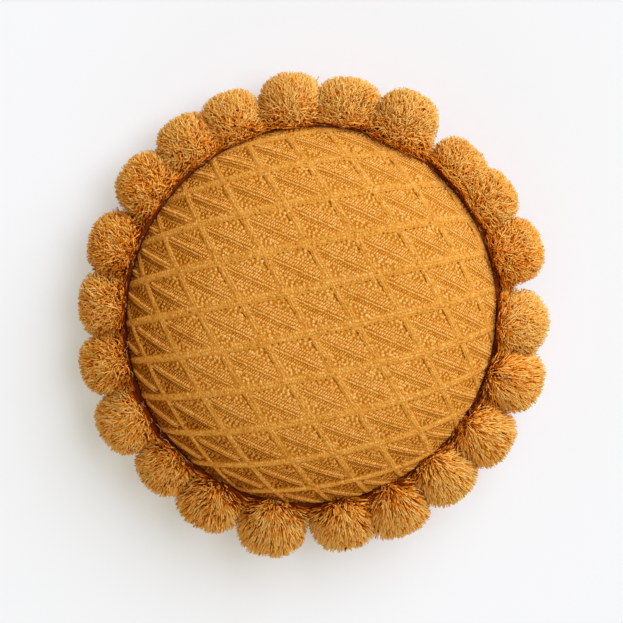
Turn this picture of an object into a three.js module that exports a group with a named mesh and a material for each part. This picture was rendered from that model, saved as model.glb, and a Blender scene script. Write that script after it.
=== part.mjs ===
// Round knitted cushion with a ring of yarn pompoms along its seam, lying on its back.
// Millimetres, +Z up. The origin is the middle of the flat spot that the cushion rests on.
import * as THREE from "three";
import { mergeVertices } from "three/addons/utils/BufferGeometryUtils.js";

const { degToRad, smoothstep } = THREE.MathUtils;

// Filled body: its seam, the crown of the front and the flattened back.
const SEAM_RADIUS = 186.4;
const SEAM_OVAL = 0.0157; // the knit gives more across its columns, so the outline is a little oval
const SEAM_HEIGHT = 58;
const CROWN_HEIGHT = 80; // front above the seam
const CROWN_FULLNESS = 2.79; // higher is flatter in the middle
const CROWN_EDGE = 0.84; // higher is sharper at the seam
const PROFILE_STEPS = 600;
const REST_RADIUS = 105; // flat spot under the back
const BACK_FULLNESS = 1.15;
const BACK_RINGS = 6;
const BACK_SIDES = 72;

// Knitted lattice of the front, laid out on the flat cloth before it is filled.
const COLUMN_ANGLE = degToRad(-24); // the way the columns of stitches run
const DIAMOND_SIDE = 44.7;
const DIAMOND_HALF_ANGLE = degToRad(35.2);
const MIDDLE_CROSSING = new THREE.Vector2(-1.6, -9.5); // the crossing nearest the middle of the cloth
const RIB_WIDTH = 6;
const RIB_HEIGHT = 2.6;
const LATTICE_REACH = 8; // diamonds each way from the middle crossing
const LONGEST_EDGE = 30;
const RIM_SNAP = 0.8; // points of the lattice this near the seam are moved onto it
const HEM_WIDTH = 9; // the relief fades out over this width beside the seam

// Twin rib along each diamond's long diagonal, in shares of that diagonal, and its section.
const TWIN_TIP = 0.16;
const TWIN_START = 0.21;
const TWIN_WIDTH = 6.8;
const TWIN_HEIGHT = 1.6;
const TWIN_SECTION = [
  { across: -0.5, rise: 0 },
  { across: -0.25, rise: 1 },
  { across: 0, rise: 0.35 },
  { across: 0.25, rise: 1 },
  { across: 0.5, rise: 0 },
];

// Pompoms in order round the seam: place of the ball's centre, counted from +X, and its radius.
const POMPOMS = [
  { angle: 95.3, distance: 216, lift: -6, radius: 30.5 },
  { angle: 79.8, distance: 215, lift: -6, radius: 30.5 },
  { angle: 63.9, distance: 217, lift: -4, radius: 30.5 },
  { angle: 47.7, distance: 212, lift: -8, radius: 30 },
  { angle: 33.4, distance: 212, lift: -8, radius: 30 },
  { angle: 17.5, distance: 213, lift: -8, radius: 31 },
  { angle: -1.1, distance: 210, lift: -9, radius: 31.5 },
  { angle: -17.2, distance: 214, lift: -10, radius: 31 },
  { angle: -34.7, distance: 214, lift: -11, radius: 31 },
  { angle: -50.9, distance: 209, lift: -12, radius: 31 },
  { angle: -66.7, distance: 212, lift: -12, radius: 31 },
  { angle: -82.2, distance: 209, lift: -12, radius: 31 },
  { angle: -100.8, distance: 216, lift: -12, radius: 31.5 },
  { angle: -118.6, distance: 213, lift: -12, radius: 31 },
  { angle: -134, distance: 213, lift: -11, radius: 30.5 },
  { angle: -150.6, distance: 216, lift: -10, radius: 31 },
  { angle: -166, distance: 210, lift: -10, radius: 30.5 },
  { angle: 176.6, distance: 206, lift: -9, radius: 31.5 },
  { angle: 159.8, distance: 210, lift: -8, radius: 31.5 },
  { angle: 141, distance: 211, lift: -7, radius: 31.5 },
  { angle: 125.6, distance: 214, lift: -6, radius: 30.5 },
  { angle: 111.2, distance: 215, lift: -6, radius: 30.5 },
];
const CORE_RADIUS = 13;
const PIECE_GAP = 0.3;
const LOCK_UNEVENNESS = 0.09; // how much shorter the shortest lock is than the longest
const LOCK_LENGTHS = 8; // different lengths of lock, dealt out in a scattered order
const LOCK_STRIDE = 5;
const POMPOM_STRIDE = 7;
const GOLDEN_ANGLE = degToRad(137.5); // turn from one pompom to the next, so that no two look alike
// Rings of points on a lock, from its root: how far it spreads to its neighbours and how far out it is.
const LOCK_RINGS = [
  { spread: 0.86, share: 0.74 },
  { spread: 0.62, share: 0.95 },
];
const TIE_RINGS = [
  { spread: 0.24, share: 0.7 },
  { spread: 0.14, share: 0.94 },
];

const MERGE_DISTANCE = 1e-4;
const SMALL_TURN = 0.01; // radians, for the direction of the seam

const KNIT_YARN = new THREE.MeshStandardMaterial({ color: 0xd9983f, roughness: 0.95, metalness: 0 });
const POMPOM_YARN = new THREE.MeshStandardMaterial({ color: 0xc9822f, roughness: 0.95, metalness: 0 });

// Share of the mean radius that the outline has at an angle: longest across the knit's columns.
const oval = (angle) => 1 - SEAM_OVAL * Math.cos(2 * (angle - COLUMN_ANGLE));

function seamPoint(angle) {
  const radius = SEAM_RADIUS * oval(angle);
  return new THREE.Vector3(radius * Math.cos(angle), radius * Math.sin(angle), SEAM_HEIGHT);
}

// One closed geometry from triangles of points.
function closedGeometry(triangles) {
  const points = new THREE.BufferGeometry().setFromPoints(triangles.flat());
  const geometry = mergeVertices(points, MERGE_DISTANCE);
  geometry.computeVertexNormals();
  return geometry;
}

// Height of the crown above the seam at a share of the radius.
const crownHeight = (share) => CROWN_HEIGHT * (1 - share ** CROWN_FULLNESS) ** CROWN_EDGE;

// The crown's half section, with the length of cloth from the middle to each of its points.
function crownProfile() {
  const profile = [{ share: 0, height: CROWN_HEIGHT, cloth: 0 }];
  for (let step = 1; step <= PROFILE_STEPS; step++) {
    const share = Math.sin(((step / PROFILE_STEPS) * Math.PI) / 2);
    const height = crownHeight(share);
    const last = profile[step - 1];
    const run = Math.hypot((share - last.share) * SEAM_RADIUS, height - last.height);
    profile.push({ share, height, cloth: last.cloth + run });
  }
  return profile;
}

const CROWN = crownProfile();
const CLOTH_RADIUS = CROWN[PROFILE_STEPS].cloth;

// Where a point of the flat cloth lies on the crown, raised by its relief along the surface's normal.
function onCrown(flat) {
  const angle = Math.atan2(flat.y, flat.x);
  const cloth = Math.min(Math.hypot(flat.x, flat.y) / oval(angle), CLOTH_RADIUS);
  const step = Math.max(1, CROWN.findIndex((point) => point.cloth >= cloth));
  const [inner, outer] = [CROWN[step - 1], CROWN[step]];
  const part = (cloth - inner.cloth) / (outer.cloth - inner.cloth);
  const radius = SEAM_RADIUS * oval(angle) * (inner.share + part * (outer.share - inner.share));
  const height = inner.height + part * (outer.height - inner.height);
  const slope = Math.atan2(inner.height - outer.height, (outer.share - inner.share) * SEAM_RADIUS);
  const relief = flat.z * smoothstep(CLOTH_RADIUS - cloth, 0, HEM_WIDTH);
  const out = radius + relief * Math.sin(slope);
  const up = SEAM_HEIGHT + height + relief * Math.cos(slope);
  return new THREE.Vector3(out * Math.cos(angle), out * Math.sin(angle), up);
}

// One diamond of the lattice in shares of its two sides, z being the relief: half of each rib round it,
// plain ground, and the twin rib along its long diagonal.
function diamond() {
  const points = [];
  const faces = [];
  const add = (u, v, relief) => points.push(new THREE.Vector3(u, v, relief)) - 1;
  const rhombus = (inset, relief) => [
    add(inset, inset, relief),
    add(1 - inset, inset, relief),
    add(1 - inset, 1 - inset, relief),
    add(inset, 1 - inset, relief),
  ];
  const crest = rhombus(0, RIB_HEIGHT);
  const foot = rhombus(RIB_WIDTH / 2 / (DIAMOND_SIDE * Math.sin(2 * DIAMOND_HALF_ANGLE)), 0);
  crest.forEach((corner, i) => {
    const next = (i + 1) % crest.length;
    faces.push([corner, crest[next], foot[next]], [corner, foot[next], foot[i]]);
  });

  const twinShare = TWIN_WIDTH / (2 * DIAMOND_SIDE * Math.sin(DIAMOND_HALF_ANGLE));
  const station = (along) =>
    TWIN_SECTION.map(({ across, rise }) =>
      add(along - across * twinShare, along + across * twinShare, rise * TWIN_HEIGHT),
    );
  const start = add(TWIN_TIP, TWIN_TIP, 0);
  const end = add(1 - TWIN_TIP, 1 - TWIN_TIP, 0);
  const near = station(TWIN_START);
  const far = station(1 - TWIN_START);
  for (let row = 0; row + 1 < TWIN_SECTION.length; row++) {
    faces.push([near[row], far[row], far[row + 1]], [near[row], far[row + 1], near[row + 1]]);
    faces.push([start, near[row], near[row + 1]], [end, far[row + 1], far[row]]);
  }

  const hole = [start, near[0], far[0], end, far.at(-1), near.at(-1)];
  const ground = [...foot, ...hole];
  const flat = (indices) => indices.map((i) => new THREE.Vector2(points[i].x, points[i].y));
  for (const face of THREE.ShapeUtils.triangulateShape(flat(foot), [flat(hole)]))
    faces.push(face.map((i) => ground[i]));
  return faces.map((face) => face.map((i) => points[i]));
}

// A triangle of the flat cloth, halved at each edge that is too long until none is.
function refined(triangle) {
  const loop = [];
  let firstMiddle = -1;
  triangle.forEach((point, i) => {
    const next = triangle[(i + 1) % 3];
    loop.push(point);
    if (Math.hypot(next.x - point.x, next.y - point.y) <= LONGEST_EDGE) return;
    if (firstMiddle < 0) firstMiddle = loop.length;
    loop.push(point.clone().add(next).multiplyScalar(0.5));
  });
  if (firstMiddle < 0) return [triangle];
  const fan = loop.map((_, i) => loop[(firstMiddle + i) % loop.length]);
  return fan.slice(2).flatMap((point, i) => refined([fan[0], fan[i + 1], point]));
}

// How far a point of the flat cloth is past the seam, with points close to it set on it.
const pastSeam = (flat) =>
  Math.hypot(flat.x, flat.y) / oval(Math.atan2(flat.y, flat.x)) - CLOTH_RADIUS;

function ontoSeam(flat) {
  const angle = Math.atan2(flat.y, flat.x);
  const radius = CLOTH_RADIUS * oval(angle);
  return new THREE.Vector3(radius * Math.cos(angle), radius * Math.sin(angle), flat.z);
}

// The part of a triangle inside the seam, as points marked with whether they lie on the seam.
function insideSeam(triangle) {
  const marked = triangle.map((point) => {
    const past = pastSeam(point);
    const onSeam = Math.abs(past) < RIM_SNAP;
    return { point: onSeam ? ontoSeam(point) : point, past: onSeam ? 0 : past, onSeam };
  });
  if (!marked.some(({ past }) => past < 0)) return [];
  const kept = [];
  marked.forEach((here, i) => {
    const next = marked[(i + 1) % 3];
    if (here.past <= 0) kept.push(here);
    if (here.past * next.past >= 0) return;
    const [inner, outer] = here.past < 0 ? [here, next] : [next, here];
    const crossing = inner.point.clone().lerp(outer.point, inner.past / (inner.past - outer.past));
    kept.push({ point: ontoSeam(crossing), past: 0, onSeam: true });
  });
  return kept;
}

// The front in triangles of the flat cloth, and the angles of its points along the seam in order.
function frontCloth() {
  const sideU = new THREE.Vector2(DIAMOND_SIDE, 0).rotateAround(
    new THREE.Vector2(),
    COLUMN_ANGLE - DIAMOND_HALF_ANGLE,
  );
  const sideV = new THREE.Vector2(DIAMOND_SIDE, 0).rotateAround(
    new THREE.Vector2(),
    COLUMN_ANGLE + DIAMOND_HALF_ANGLE,
  );
  const pattern = diamond();
  const triangles = [];
  const seamAngles = new Map();
  for (let row = -LATTICE_REACH; row < LATTICE_REACH; row++)
    for (let column = -LATTICE_REACH; column < LATTICE_REACH; column++) {
      const lay = ({ x, y, z }) => {
        const flat = MIDDLE_CROSSING.clone()
          .addScaledVector(sideU, row + x)
          .addScaledVector(sideV, column + y);
        return new THREE.Vector3(flat.x, flat.y, z);
      };
      for (const triangle of pattern.flatMap((face) => refined(face.map(lay)))) {
        const loop = insideSeam(triangle);
        for (const { point, onSeam } of loop) {
          const angle = Math.atan2(point.y, point.x);
          if (onSeam) seamAngles.set(angle.toFixed(7), angle);
        }
        for (let i = 2; i < loop.length; i++)
          triangles.push([loop[0].point, loop[i - 1].point, loop[i].point]);
      }
    }
  return { triangles, seamAngles: [...seamAngles.values()].sort((a, b) => a - b) };
}

// A ring of the back: step 0 is the seam and the last step is the edge of the flat spot.
function backPoint(angle, step) {
  const turn = ((step / BACK_RINGS) * Math.PI) / 2;
  const reach = SEAM_RADIUS * oval(angle) - REST_RADIUS;
  const radius = REST_RADIUS + reach * Math.max(0, Math.cos(turn)) ** BACK_FULLNESS;
  const height = step === BACK_RINGS ? 0 : SEAM_HEIGHT * (1 - Math.sin(turn) ** BACK_FULLNESS);
  return new THREE.Vector3(radius * Math.cos(angle), radius * Math.sin(angle), height);
}

// Wall between two rings, each a list of angles in order with the function that gives its points.
function wallBetween(upper, lower) {
  const triangles = [];
  const at = (ring, i) => ring.point(ring.angles[i % ring.angles.length]);
  const angleOf = (ring, i) =>
    ring.angles[i % ring.angles.length] + (i < ring.angles.length ? 0 : 2 * Math.PI);
  let [i, j] = [0, 0];
  while (i < upper.angles.length || j < lower.angles.length) {
    const stepUpper =
      j === lower.angles.length ||
      (i < upper.angles.length && angleOf(upper, i + 1) < angleOf(lower, j + 1));
    if (stepUpper) triangles.push([at(lower, j), at(upper, i + 1), at(upper, i++)]);
    else triangles.push([at(lower, j), at(lower, ++j), at(upper, i)]);
  }
  return triangles;
}

function cushionGeometry() {
  const { triangles, seamAngles } = frontCloth();
  const front = triangles.map((triangle) => triangle.map(onCrown));
  const backAngles = Array.from(
    { length: BACK_SIDES },
    (_, i) => -Math.PI + ((i + 0.5) / BACK_SIDES) * 2 * Math.PI,
  );
  const rings = [{ angles: seamAngles, point: seamPoint }];
  for (let step = 1; step <= BACK_RINGS; step++)
    rings.push({ angles: backAngles, point: (angle) => backPoint(angle, step) });
  const back = rings.slice(1).flatMap((ring, i) => wallBetween(rings[i], ring));
  const spot = backAngles.map((angle) => backPoint(angle, BACK_RINGS));
  const rest = THREE.ShapeUtils.triangulateShape(spot, []).map((face) =>
    face.map((i) => spot[i]).reverse(),
  );
  return closedGeometry([...front, ...back, ...rest]);
}

// The twelve rhombic faces of a pompom's core, each as its corners' directions seen anticlockwise.
function coreFaces() {
  const faces = [];
  for (const axis of [0, 1, 2])
    for (const signA of [1, -1])
      for (const signB of [1, -1]) {
        const first = new THREE.Vector3().setComponent((axis + 1) % 3, 2 * signA);
        const second = new THREE.Vector3().setComponent((axis + 2) % 3, 2 * signB);
        const middle = first.clone().add(second).multiplyScalar(0.5);
        const above = middle.clone().setComponent(axis, 1);
        const below = middle.clone().setComponent(axis, -1);
        const around = [first, below, second, above];
        const corners = signA * signB > 0 ? around : around.reverse();
        faces.push({ middle: middle.normalize(), corners: corners.map((corner) => corner.normalize()) });
      }
  return faces;
}

const CORE_FACES = coreFaces();

function pompomCentre({ angle, distance, lift }) {
  const turn = degToRad(angle);
  return new THREE.Vector3(distance * Math.cos(turn), distance * Math.sin(turn), SEAM_HEIGHT + lift);
}

// Planes that a pompom's yarn is pressed against: the body at its tie, and the two pompoms beside it.
function pressedBy(index) {
  const row = POMPOMS[index];
  const centre = pompomCentre(row);
  const turn = degToRad(row.angle);
  const tie = seamPoint(turn);
  const alongSeam = seamPoint(turn + SMALL_TURN).sub(seamPoint(turn - SMALL_TURN));
  const outwards = new THREE.Vector3(alongSeam.y, -alongSeam.x, 0).normalize();
  const planes = [{ normal: outwards.clone().negate(), depth: centre.clone().sub(tie).dot(outwards) }];
  for (const beside of [1, POMPOMS.length - 1]) {
    const other = POMPOMS[(index + beside) % POMPOMS.length];
    const apart = pompomCentre(other).sub(centre);
    const depth = (apart.length() * row.radius) / (row.radius + other.radius);
    planes.push({ normal: apart.normalize(), depth });
  }
  const tieEnd = tie.addScaledVector(outwards, PIECE_GAP);
  return { centre, planes, toTie: tieEnd.sub(centre) };
}

// A core with eleven locks of yarn and the tie that is sewn into the seam, each on a face of the core.
function pompomGeometry(index) {
  const { centre, planes, toTie } = pressedBy(index);
  const { radius } = POMPOMS[index];
  const tieLength = toTie.length();
  const tieWay = toTie.normalize();
  const turn = new THREE.Quaternion()
    .setFromAxisAngle(tieWay, index * GOLDEN_ANGLE)
    .multiply(new THREE.Quaternion().setFromUnitVectors(CORE_FACES[0].middle, tieWay));
  const reach = (way) =>
    planes.reduce((most, { normal, depth }) => {
      const towards = way.dot(normal);
      return towards > 0 ? Math.min(most, (depth - PIECE_GAP) / towards) : most;
    }, radius);
  const triangles = [];
  CORE_FACES.forEach((face, number) => {
    const middle = face.middle.clone().applyQuaternion(turn);
    const corners = face.corners.map((corner) => corner.clone().applyQuaternion(turn));
    const isTie = number === 0;
    const dealt = (number * LOCK_STRIDE + index * POMPOM_STRIDE) % LOCK_LENGTHS;
    const length = 1 - (LOCK_UNEVENNESS * dealt) / LOCK_LENGTHS;
    const along = (way, share) =>
      way.clone().multiplyScalar((isTie ? tieLength : length * reach(way)) * share).add(centre);
    let ring = corners.map((corner) => corner.clone().multiplyScalar(CORE_RADIUS).add(centre));
    for (const { spread, share } of isTie ? TIE_RINGS : LOCK_RINGS) {
      const next = corners.map((corner) => along(middle.clone().lerp(corner, spread).normalize(), share));
      next.forEach((point, i) => {
        const j = (i + 1) % next.length;
        triangles.push([ring[i], ring[j], next[j]], [ring[i], next[j], point]);
      });
      ring = next;
    }
    const tip = along(middle, 1);
    ring.forEach((point, i) => triangles.push([point, ring[(i + 1) % ring.length], tip]));
  });
  return closedGeometry(triangles);
}

function named(name, geometry, material) {
  const mesh = new THREE.Mesh(geometry, material);
  mesh.name = name;
  return mesh;
}

const cushion = new THREE.Group();
cushion.add(named("cushion", cushionGeometry(), KNIT_YARN));
POMPOMS.forEach((_, index) => {
  const name = `pompom_${String(index + 1).padStart(2, "0")}`;
  cushion.add(named(name, pompomGeometry(index), POMPOM_YARN));
});

export default cushion;
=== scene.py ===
"""Round knitted cushion with a ring of yarn pompoms. Sizes are in millimetres until a mesh is made."""
import math

import bpy
import numpy as np
from mathutils import Matrix, Vector


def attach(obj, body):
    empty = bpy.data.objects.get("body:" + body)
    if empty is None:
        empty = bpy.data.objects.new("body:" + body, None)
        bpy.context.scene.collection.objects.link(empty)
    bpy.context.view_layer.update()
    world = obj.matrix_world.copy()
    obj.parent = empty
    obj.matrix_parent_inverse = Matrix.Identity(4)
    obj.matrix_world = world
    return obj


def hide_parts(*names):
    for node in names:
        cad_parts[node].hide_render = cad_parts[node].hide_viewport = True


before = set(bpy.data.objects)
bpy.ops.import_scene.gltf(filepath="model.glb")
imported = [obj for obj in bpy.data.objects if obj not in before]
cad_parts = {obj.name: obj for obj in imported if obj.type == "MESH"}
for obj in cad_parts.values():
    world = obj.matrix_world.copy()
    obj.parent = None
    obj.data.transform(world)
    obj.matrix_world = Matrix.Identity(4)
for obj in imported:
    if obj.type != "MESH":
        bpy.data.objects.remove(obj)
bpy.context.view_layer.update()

# Metres in a millimetre, the least length that divides, and the seeds of the random draws.
MM = 0.001
TINY = 1e-6
SEED = 22
FIELD_SEED = SEED + 101
RIB_SEED = SEED + 102
TIE_SEED = SEED + 103
DEEP_SEED = SEED + 104

# Filled body: seam, crown of the front, flattened back.
SEAM_RADIUS = 186.4
SEAM_OVAL = 0.0157
SEAM_HEIGHT = 58.0
CROWN_HEIGHT = 80.0
CROWN_FULLNESS = 2.79
CROWN_EDGE = 0.84
PROFILE_STEPS = 1200
REST_RADIUS = 105.0
BACK_FULLNESS = 1.15
BACK_RINGS = 12
REST_RINGS = 3

# Knitted front, laid out on the flat cloth: columns of stitches run along COLUMN_ANGLE.
COLUMN_ANGLE = math.radians(-24)
COLUMN_PITCH = 3.22
ROW_PITCH = 2.435
SPARE_ROWS = 8
DIAMOND_SIDE = 44.7
DIAMOND_HALF_ANGLE = math.radians(35.2)
MIDDLE_CROSSING = np.array([-1.6, -9.5])
LATTICE_REACH = 8
GRID_PER_DIAMOND = 28
GRID_SPARE = 0.4
HEM_START = 1.0
HEM_WIDTH = 5.0
STITCH_HEM = 2.5
ROLL_WIDTH = 4.0
ROLL_HEIGHT = 0.9
ROLL_SINK = 0.01

# Two families of raised ribs. Measured across a rib's line: its middle, half width and height, the place
# and depth of the groove beside it, and the strip that field stitches stay clear of. The groove starts at
# the crossing distances from the other family, and beads is the share of its depth that comes in beads.
# Its stitches have a lane, a half width and a tone, and its deep stitches a bead pitch and size.
STEEP_RIB = dict(
    middle=1.4, half=3.8, height=0.42, groove=-3.0, depth=0.3, beads=0.6, crossing=(4.0, 6.0),
    clear=(-4.0, 3.9), lane=1.4, width=1.9, tone=0.02, bead_pitch=2.7, bead_size=(2.4, 1.3, 0.1),
)
FLAT_RIB = dict(
    middle=-0.4, half=4.2, height=0.62, groove=4.5, depth=0.3, beads=0.9, crossing=(3.0, 5.0),
    clear=(-4.0, 5.4), lane=1.7, width=2.3, tone=0.01, bead_pitch=4.7, bead_size=(1.5, 1.1, 0.1),
)
CLEAR_FADE = 1.0
RIDGE_FULLNESS = 0.8
GROOVE_DEPTH = 0.8
GROOVE_WIDTH = 0.9
BEAD_STEPS = 3.0

# Twin rib inside each diamond: shares of the diagonal where it starts, and its section across that.
TWIN_TIP = 0.15
TWIN_START = 0.22
TWIN_HEIGHT = 0.5
TWIN_VALLEY = 0.4
TWIN_VALLEY_WIDTH = 0.7
TWIN_GROOVE = -4.6
TWIN_DEPTH = 0.2
TWIN_BEADS = 0.3
TWIN_CLEAR = 3.4
TWIN_GAP = 0.8

# Near the seam, most at the cushion's shaded side, the cover is slacker and its ribs stand up, and painted
# shade deepens its tones there.
RIM_EDGE = 10.0
RIM_REACH = 122.0
RIM_GROWTH = 0.8
SHADED_SIDE_ANGLE = math.radians(222)
SLACK_GROWTH = 3.0
SHADED_SIDE_GAP_TONE = 0.44
SHADED_SIDE_RIB_TONE = -0.02
SHADED_SIDE_STITCH_TONE = 0.41
SHADED_SIDE_TWIN_TONE = 0.08

# Tones of the knit, from 0, deep, to 1, pale. The gap, groove and bead tones are painted shade between
# stitches, in the grooves and beside the ribs.
GAP_TONE = 0.3
RIB_TONE = 0.5
STITCH_TONE = 0.64
GROOVE_TONE = 0.37
SHADE_BEAD_TONE = 0.05
BEAD_SHADE_EASING = 0.26

# Stitches are plump grains, each with a half length, a half width and a rise. Stray, turns, sizes and tones
# spread them around their mean place, direction, size and tone, and lift makes their tops paler and their
# bases darker, as painted light and shade.
GRAIN_BASE = -0.4
GRAIN_RIDGE = 0.45
FIELD_STRAY = 0.2
FIELD_SIZES = (0.8, 1.2)
FIELD_TONES = 0.06
FIELD_LIFT = 0.07
BOBBLE_FROM = 11.0
BOBBLE_SKIPS = 0.85
BOBBLE_SIZE = (2.7, 2.4, 0.75)
BOBBLE_TURNS = 0.35
BOBBLE_TONE = -0.03
STROKE_SIZE = (2.6, 1.4, 0.65)
STROKE_SLANT = math.radians(68)
STROKE_TURNS = 0.12
LOWER_SIZE = (2.1, 1.6, 0.4)
LOWER_SLANT = -0.25
SUNK_SIZE = 0.8
SUNK_TONE = -0.1
RIB_PITCH = 2.6
RIB_SLANT = math.radians(30)
RIB_LENGTH = 2.2
RIB_RISE = 0.3
RIB_STRAY = 0.35
RIB_TURNS = 0.25
RIB_SIZES = (0.75, 1.2)
RIB_TONES = 0.09
RIB_LIFT = 0.05
DEEP_CLEAR = 5.0
FADE_ALONG = (0.3, 0.9)
BEAD_FADE = 0.45
TWIN_BEAD_SIZE = (1.3, 0.7, 0.12)
TWIN_BEAD_ROOM = 1.0
DEEP_STRAY = 0.3
DEEP_TURNS = 0.25
DEEP_SIZES = (0.75, 1.25)
DEEP_TONES = 0.04
DEEP_LIFT = 0.12

# Filling pressed into the cover by a short cloth simulation on a coarse net, which is held at the ties and,
# up to HELD_HEIGHT, at the flat spot.
NET_FRONT_RINGS = 36
NET_BACK_RINGS = 16
NET_REST_RINGS = 8
NET_SECTORS = 132
FILL_PRESSURE = 4.0
FILL_QUALITY = 6
FILL_FRAMES = 20
FILL_MOST = 6.0
HELD_HEIGHT = 0.5

# Pompoms: place of the ball's centre, its radius, how far its strands fan out from the tie, its tone, and
# the gap between the seam and its nearest strands. The tone is set for each pompom to how bright it looks,
# so it is partly the yarn's own tone and partly painted light.
POMPOM_COLUMNS = ("angle", "distance", "lift", "radius", "fan", "tone", "gap")
POMPOMS = [dict(zip(POMPOM_COLUMNS, row)) for row in (
    (95.3, 214.0, -14, 30.5, 0.20, 0.28, 0.0),
    (80.6, 211.7, -14, 30.5, 0.20, 0.30, 2.5),
    (64.2, 215.8, -6, 30.5, 0.15, 0.27, -4.0),
    (45.0, 204.0, -13, 30.5, 0.10, 0.17, 3.5),
    (33.4, 209.5, -14, 30.5, 0.15, 0.16, 3.5),
    (17.9, 211.0, -14, 32.0, 0.20, 0.05, 3.0),
    (-2.1, 206.0, -14, 32.5, 0.35, 0.28, 2.0),
    (-17.5, 212.5, -13, 32.0, 0.85, 0.17, 2.0),
    (-34.7, 212.0, -13, 32.0, 0.95, 0.18, 0.5),
    (-50.2, 209.5, -13, 31.5, 1.00, 0.35, 0.5),
    (-65.9, 212.3, -13, 31.5, 1.00, 0.21, 0.5),
    (-81.0, 208.3, -13, 33.5, 1.00, 0.27, 1.5),
    (-100.8, 215.5, -13, 34.0, 0.95, 0.30, 1.5),
    (-118.6, 212.5, -13, 33.0, 0.90, 0.18, 2.5),
    (-133.9, 208.4, -13, 31.5, 0.65, 0.18, 3.5),
    (-150.1, 213.4, -12, 32.0, 0.50, 0.27, 6.0),
    (-166.8, 208.5, -12, 30.5, 0.45, 0.15, 3.0),
    (176.6, 202.5, -12, 32.0, 0.25, 0.14, 2.0),
    (160.0, 204.3, -12, 32.5, 0.25, 0.03, 2.0),
    (141.2, 207.0, -12, 32.5, 0.20, 0.12, 2.5),
    (125.5, 210.0, -13, 30.5, 0.15, 0.18, 2.0),
    (111.8, 209.5, -14, 30.5, 0.15, 0.23, 0.0),
)]

# Ball of a pompom: squarish, wider beside the seam, and pressed by its neighbours, the body and the floor,
# in the directions of which more than the LEAST share leads towards them.
SQUARENESS = 2.4
INNER_SQUARENESS = 2.5
INNER_STRETCH = 1.25
INNER_FULL = 0.5
WIDTH = 1.06
INNER_WIDTH = 0.24
FAN_FLATNESS = 0.12
NEIGHBOUR_MIX = 5.5
NEIGHBOUR_LEAST = 0.05
CROWN_LEAN = math.radians(12)
BACK_LEAN = math.radians(28)
BODY_LEAST = 0.02
FLOOR_GAP = 1.0
FAR = 1000.0
LUMPS = 9
LUMP_SIZE = 0.05
LUMP_SHARPNESS = 14
CORE_SHARE = 0.82
CORE_ROUGHNESS = 0.03
CORE_RINGS = 14
CORE_SECTORS = 24

# Strands of a pompom: a plain ball's values, and a full fan's where the name says FAN.
STRANDS = 2850
STRAND_RADIUS = 0.62
STRAND_RADII = (0.8, 1.15)
STRAND_WIDTHS = (0.0, 1.0, 0.8)
STRAND_LENGTH = 11.0
FAN_LENGTH = 20.0
STRAND_LENGTHS = (0.75, 1.2)
ROOM_SHARE = 0.9
DIRECTION_STRAY = 0.6
UNDERSIDE = -0.2
UPPER_SHARE = 0.65
TIP_REACH = (0.88, 1.04)
TIE_NEAR = 0.55
TIE_STRAY = 6.5
FAN_STRAY = 3.0
WAVE = 0.24
FAN_WAVE = 0.035
TUFTS = 240
TUFT_PULL = 0.12
FAN_PULL = 0.2
TUFT_STRAY = 3.0
EDGE_STRAY = 4.5
ROOT_CLOSE = 2.5

# Tones of the pompoms: spread of the strands, wider on the cushion's shaded side as painted shade, then
# painted shade deep in the ball, on its core, in the cleft at the seam and fading out from it, and in the
# pockets between pompoms; the tips are paler as painted light. The lit side of the cushion has the painted
# shade eased.
MEAN_TONE = 0.7
TIP_TONE = 0.14
CORE_TONE = 0.3
TUFT_TONES = 0.08
STRAND_SPREAD = 0.15
FAN_SPREAD = 0.28
SHADE_SPREAD = 0.13
LIT_EASE = 0.3
DEPTH_TONE = 0.44
FAN_DEPTH_TONE = 0.68
DEPTH_FULL = 8.0
CLEFT_DEPTH = 8.0
CLEFT_TONE = 0.42
ROOT_SHARE = 0.35
POCKET_BESIDE = (6.0, 24.0)
POCKET_OUT = (4.0, 24.0)
POCKET_TONE = 0.16
SEAM_FADE = 34.0
SEAM_TONE = 0.21
FAN_SEAM_TONE = 0.47

# Braid along the seam, which the ties are sewn to. Its dark tone is partly the seam yarn's own and partly
# painted shade of the cleft, and it is paler on the cushion's lit side as painted light.
BRAID_OUT = 3.0
BRAID_DROP = 4.0
BRAID_RADIUS = 4.0
BRAID_BEADS = 0.12
BRAID_TONE = 0.1
BRAID_LIT_TONE = 0.3
BRAID_SECTORS = 264
BRAID_SIDES = 6

# Loose ends of the ties, lying along the seam: places beside, out from and above it, lengths, and how far
# each curls round.
TIE_ENDS = 9
TIE_POINTS = 7
TIE_RADIUS = 0.45
TIE_LENGTH = (6.0, 14.0)
TIE_CURL = (0.6, 4.5)
TIE_BESIDE = 0.06
TIE_OUT = (1.0, 6.0)
TIE_LEAST_OUT = 0.5
TIE_UP = (4.0, 9.0)
TIE_TILT = 3.0
TIE_TONE = 0.7
TIE_TONES = 0.15

# Yarns: colours from the painted shade of deep folds to pale fibres, the tones where they stand, the size
# of the mottling, the height of the fibres, and the range of the stitch waves that paints shade into the
# gaps.
TONE_STOPS = (0.0, 0.28, 0.6, 1.0)
KNIT_COLOURS = ("#7C3A02", "#BE7112", "#ECA447", "#FECC80")
CUT_COLOURS = ("#742802", "#D4680A", "#FEA22A", "#FFC96C")
SEAM_COLOURS = ("#5E1E0E", "#94401A", "#C47A46", "#E2AC84")
MOTTLE_SIZE = 14.0
FIBRE_HEIGHT = 0.5
STITCH_GAPS = (-0.3, -0.95)

# Camera: the picture's plane is nearly parallel to the seam, and its top is a little nearer.
PICTURE = 623
CAMERA_DISTANCE = 1600.0
CAMERA_TILT = math.radians(4.45)
SEAM_CENTRE_PIXEL = (311.4, 316.4)
SENSOR = 36.0

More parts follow.
